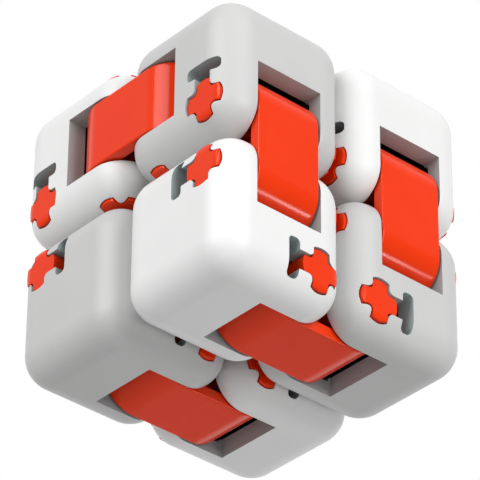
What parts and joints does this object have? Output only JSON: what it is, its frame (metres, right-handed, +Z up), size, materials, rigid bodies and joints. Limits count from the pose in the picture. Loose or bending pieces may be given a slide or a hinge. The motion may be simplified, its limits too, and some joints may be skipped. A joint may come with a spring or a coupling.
{
  "type": "folding block fidget cube",
  "caption": "Pocket fidget toy: hollow white and grey cubes joined in one endless loop by flat orange links on plus-section axles, so the block folds open and inside out.",
  "frame": {"origin": "centre of the bottom of the closed block, on the plane it rests on", "axes": "+Z up; -Y is the front with two upright links; -X is the left side with one lying link; X and Y along the cube rows"},
  "size_m": [0.048, 0.048, 0.048],
  "materials": {
    "white_plastic": "satin white moulded plastic",
    "grey_plastic": "satin pale grey moulded plastic",
    "orange_plastic": "smooth orange-red moulded plastic"
  },
  "bodies": {
    "upper_left": {"cube_top_front_left": "grey_plastic", "axle_top_left_in_top_front_left": "orange_plastic", "axle_front_left_in_top_front_left": "orange_plastic", "cube_top_back_left": "white_plastic", "axle_top_left_in_top_back_left": "orange_plastic", "axle_back_left_in_top_back_left": "orange_plastic", "link_top_left": "orange_plastic"},
    "link_front_left": {"link_front_left": "orange_plastic"},
    "bottom_front_left": {"cube_bottom_front_left": "white_plastic", "axle_front_left_in_bottom_front_left": "orange_plastic", "axle_bottom_front_in_bottom_front_left": "orange_plastic"},
    "link_bottom_front": {"link_bottom_front": "orange_plastic"},
    "bottom_front_right": {"cube_bottom_front_right": "grey_plastic", "axle_bottom_front_in_bottom_front_right": "orange_plastic", "axle_front_right_in_bottom_front_right": "orange_plastic"},
    "link_front_right": {"link_front_right": "orange_plastic"},
    "upper_right": {"cube_top_front_right": "white_plastic", "axle_front_right_in_top_front_right": "orange_plastic", "axle_top_right_in_top_front_right": "orange_plastic", "cube_top_back_right": "grey_plastic", "axle_top_right_in_top_back_right": "orange_plastic", "axle_back_right_in_top_back_right": "orange_plastic", "link_top_right": "orange_plastic"},
    "link_back_right": {"link_back_right": "orange_plastic"},
    "bottom_back_right": {"cube_bottom_back_right": "white_plastic", "axle_back_right_in_bottom_back_right": "orange_plastic", "axle_bottom_back_in_bottom_back_right": "orange_plastic"},
    "link_back_left": {"link_back_left": "orange_plastic"},
    "bottom_back_left": {"cube_bottom_back_left": "grey_plastic", "axle_bottom_back_in_bottom_back_left": "orange_plastic", "axle_back_left_in_bottom_back_left": "orange_plastic"},
    "link_bottom_back": {"link_bottom_back": "orange_plastic"}
  },
  "joints": [
    {"name": "front_swing_upper", "type": "hinge", "parent": "upper_left", "child": "link_front_left", "pos_m": [-0.01208, -0.01835, 0.0298], "axis": [-1, 0, 0], "range_deg": [0, 90]},
    {"name": "front_swing_lower", "type": "hinge", "parent": "link_front_left", "child": "bottom_front_left", "pos_m": [-0.01208, -0.01835, 0.0182], "axis": [-1, 0, 0], "range_deg": [0, 90]},
    {"name": "book_fold_left", "type": "hinge", "parent": "bottom_front_left", "child": "link_bottom_front", "pos_m": [-0.0058, -0.01208, 0.00565], "axis": [0, 1, 0], "range_deg": [0, 90]},
    {"name": "book_fold_right", "type": "hinge", "parent": "link_bottom_front", "child": "bottom_front_right", "pos_m": [0.0058, -0.01208, 0.00565], "axis": [0, 1, 0], "range_deg": [0, 90]},
    {"name": "front_swing_lower_right", "type": "hinge", "parent": "bottom_front_right", "child": "link_front_right", "pos_m": [0.01208, -0.01835, 0.0182], "axis": [1, 0, 0], "range_deg": [0, 90]},
    {"name": "front_swing_upper_right", "type": "hinge", "parent": "link_front_right", "child": "upper_right", "pos_m": [0.01208, -0.01835, 0.0298], "axis": [1, 0, 0], "range_deg": [0, 90]},
    {"name": "rear_swing_upper_right", "type": "hinge", "parent": "upper_right", "child": "link_back_right", "pos_m": [0.01208, 0.01835, 0.0298], "axis": [1, 0, 0], "range_deg": [0, 90]},
    {"name": "rear_swing_lower_right", "type": "hinge", "parent": "link_back_right", "child": "bottom_back_right", "pos_m": [0.01208, 0.01835, 0.0182], "axis": [1, 0, 0], "range_deg": [0, 90]},
    {"name": "rear_swing_upper", "type": "hinge", "parent": "upper_left", "child": "link_back_left", "pos_m": [-0.01208, 0.01835, 0.0298], "axis": [1, 0, 0], "range_deg": [0, 90]},
    {"name": "rear_swing_lower", "type": "hinge", "parent": "link_back_left", "child": "bottom_back_left", "pos_m": [-0.01208, 0.01835, 0.0182], "axis": [1, 0, 0], "range_deg": [0, 90]},
    {"name": "book_fold_left_rear", "type": "hinge", "parent": "bottom_back_left", "child": "link_bottom_back", "pos_m": [-0.0058, 0.01208, 0.00565], "axis": [0, 1, 0], "range_deg": [0, 90]}
  ],
  "couplings": [
    {"joint": "front_swing_lower_right", "follows": "front_swing_lower", "ratio": 1},
    {"joint": "front_swing_upper_right", "follows": "front_swing_upper", "ratio": 1},
    {"joint": "rear_swing_upper_right", "follows": "rear_swing_upper", "ratio": 1},
    {"joint": "rear_swing_lower_right", "follows": "rear_swing_lower", "ratio": 1},
    {"joint": "book_fold_left_rear", "follows": "book_fold_left", "ratio": 1}
  ]
}
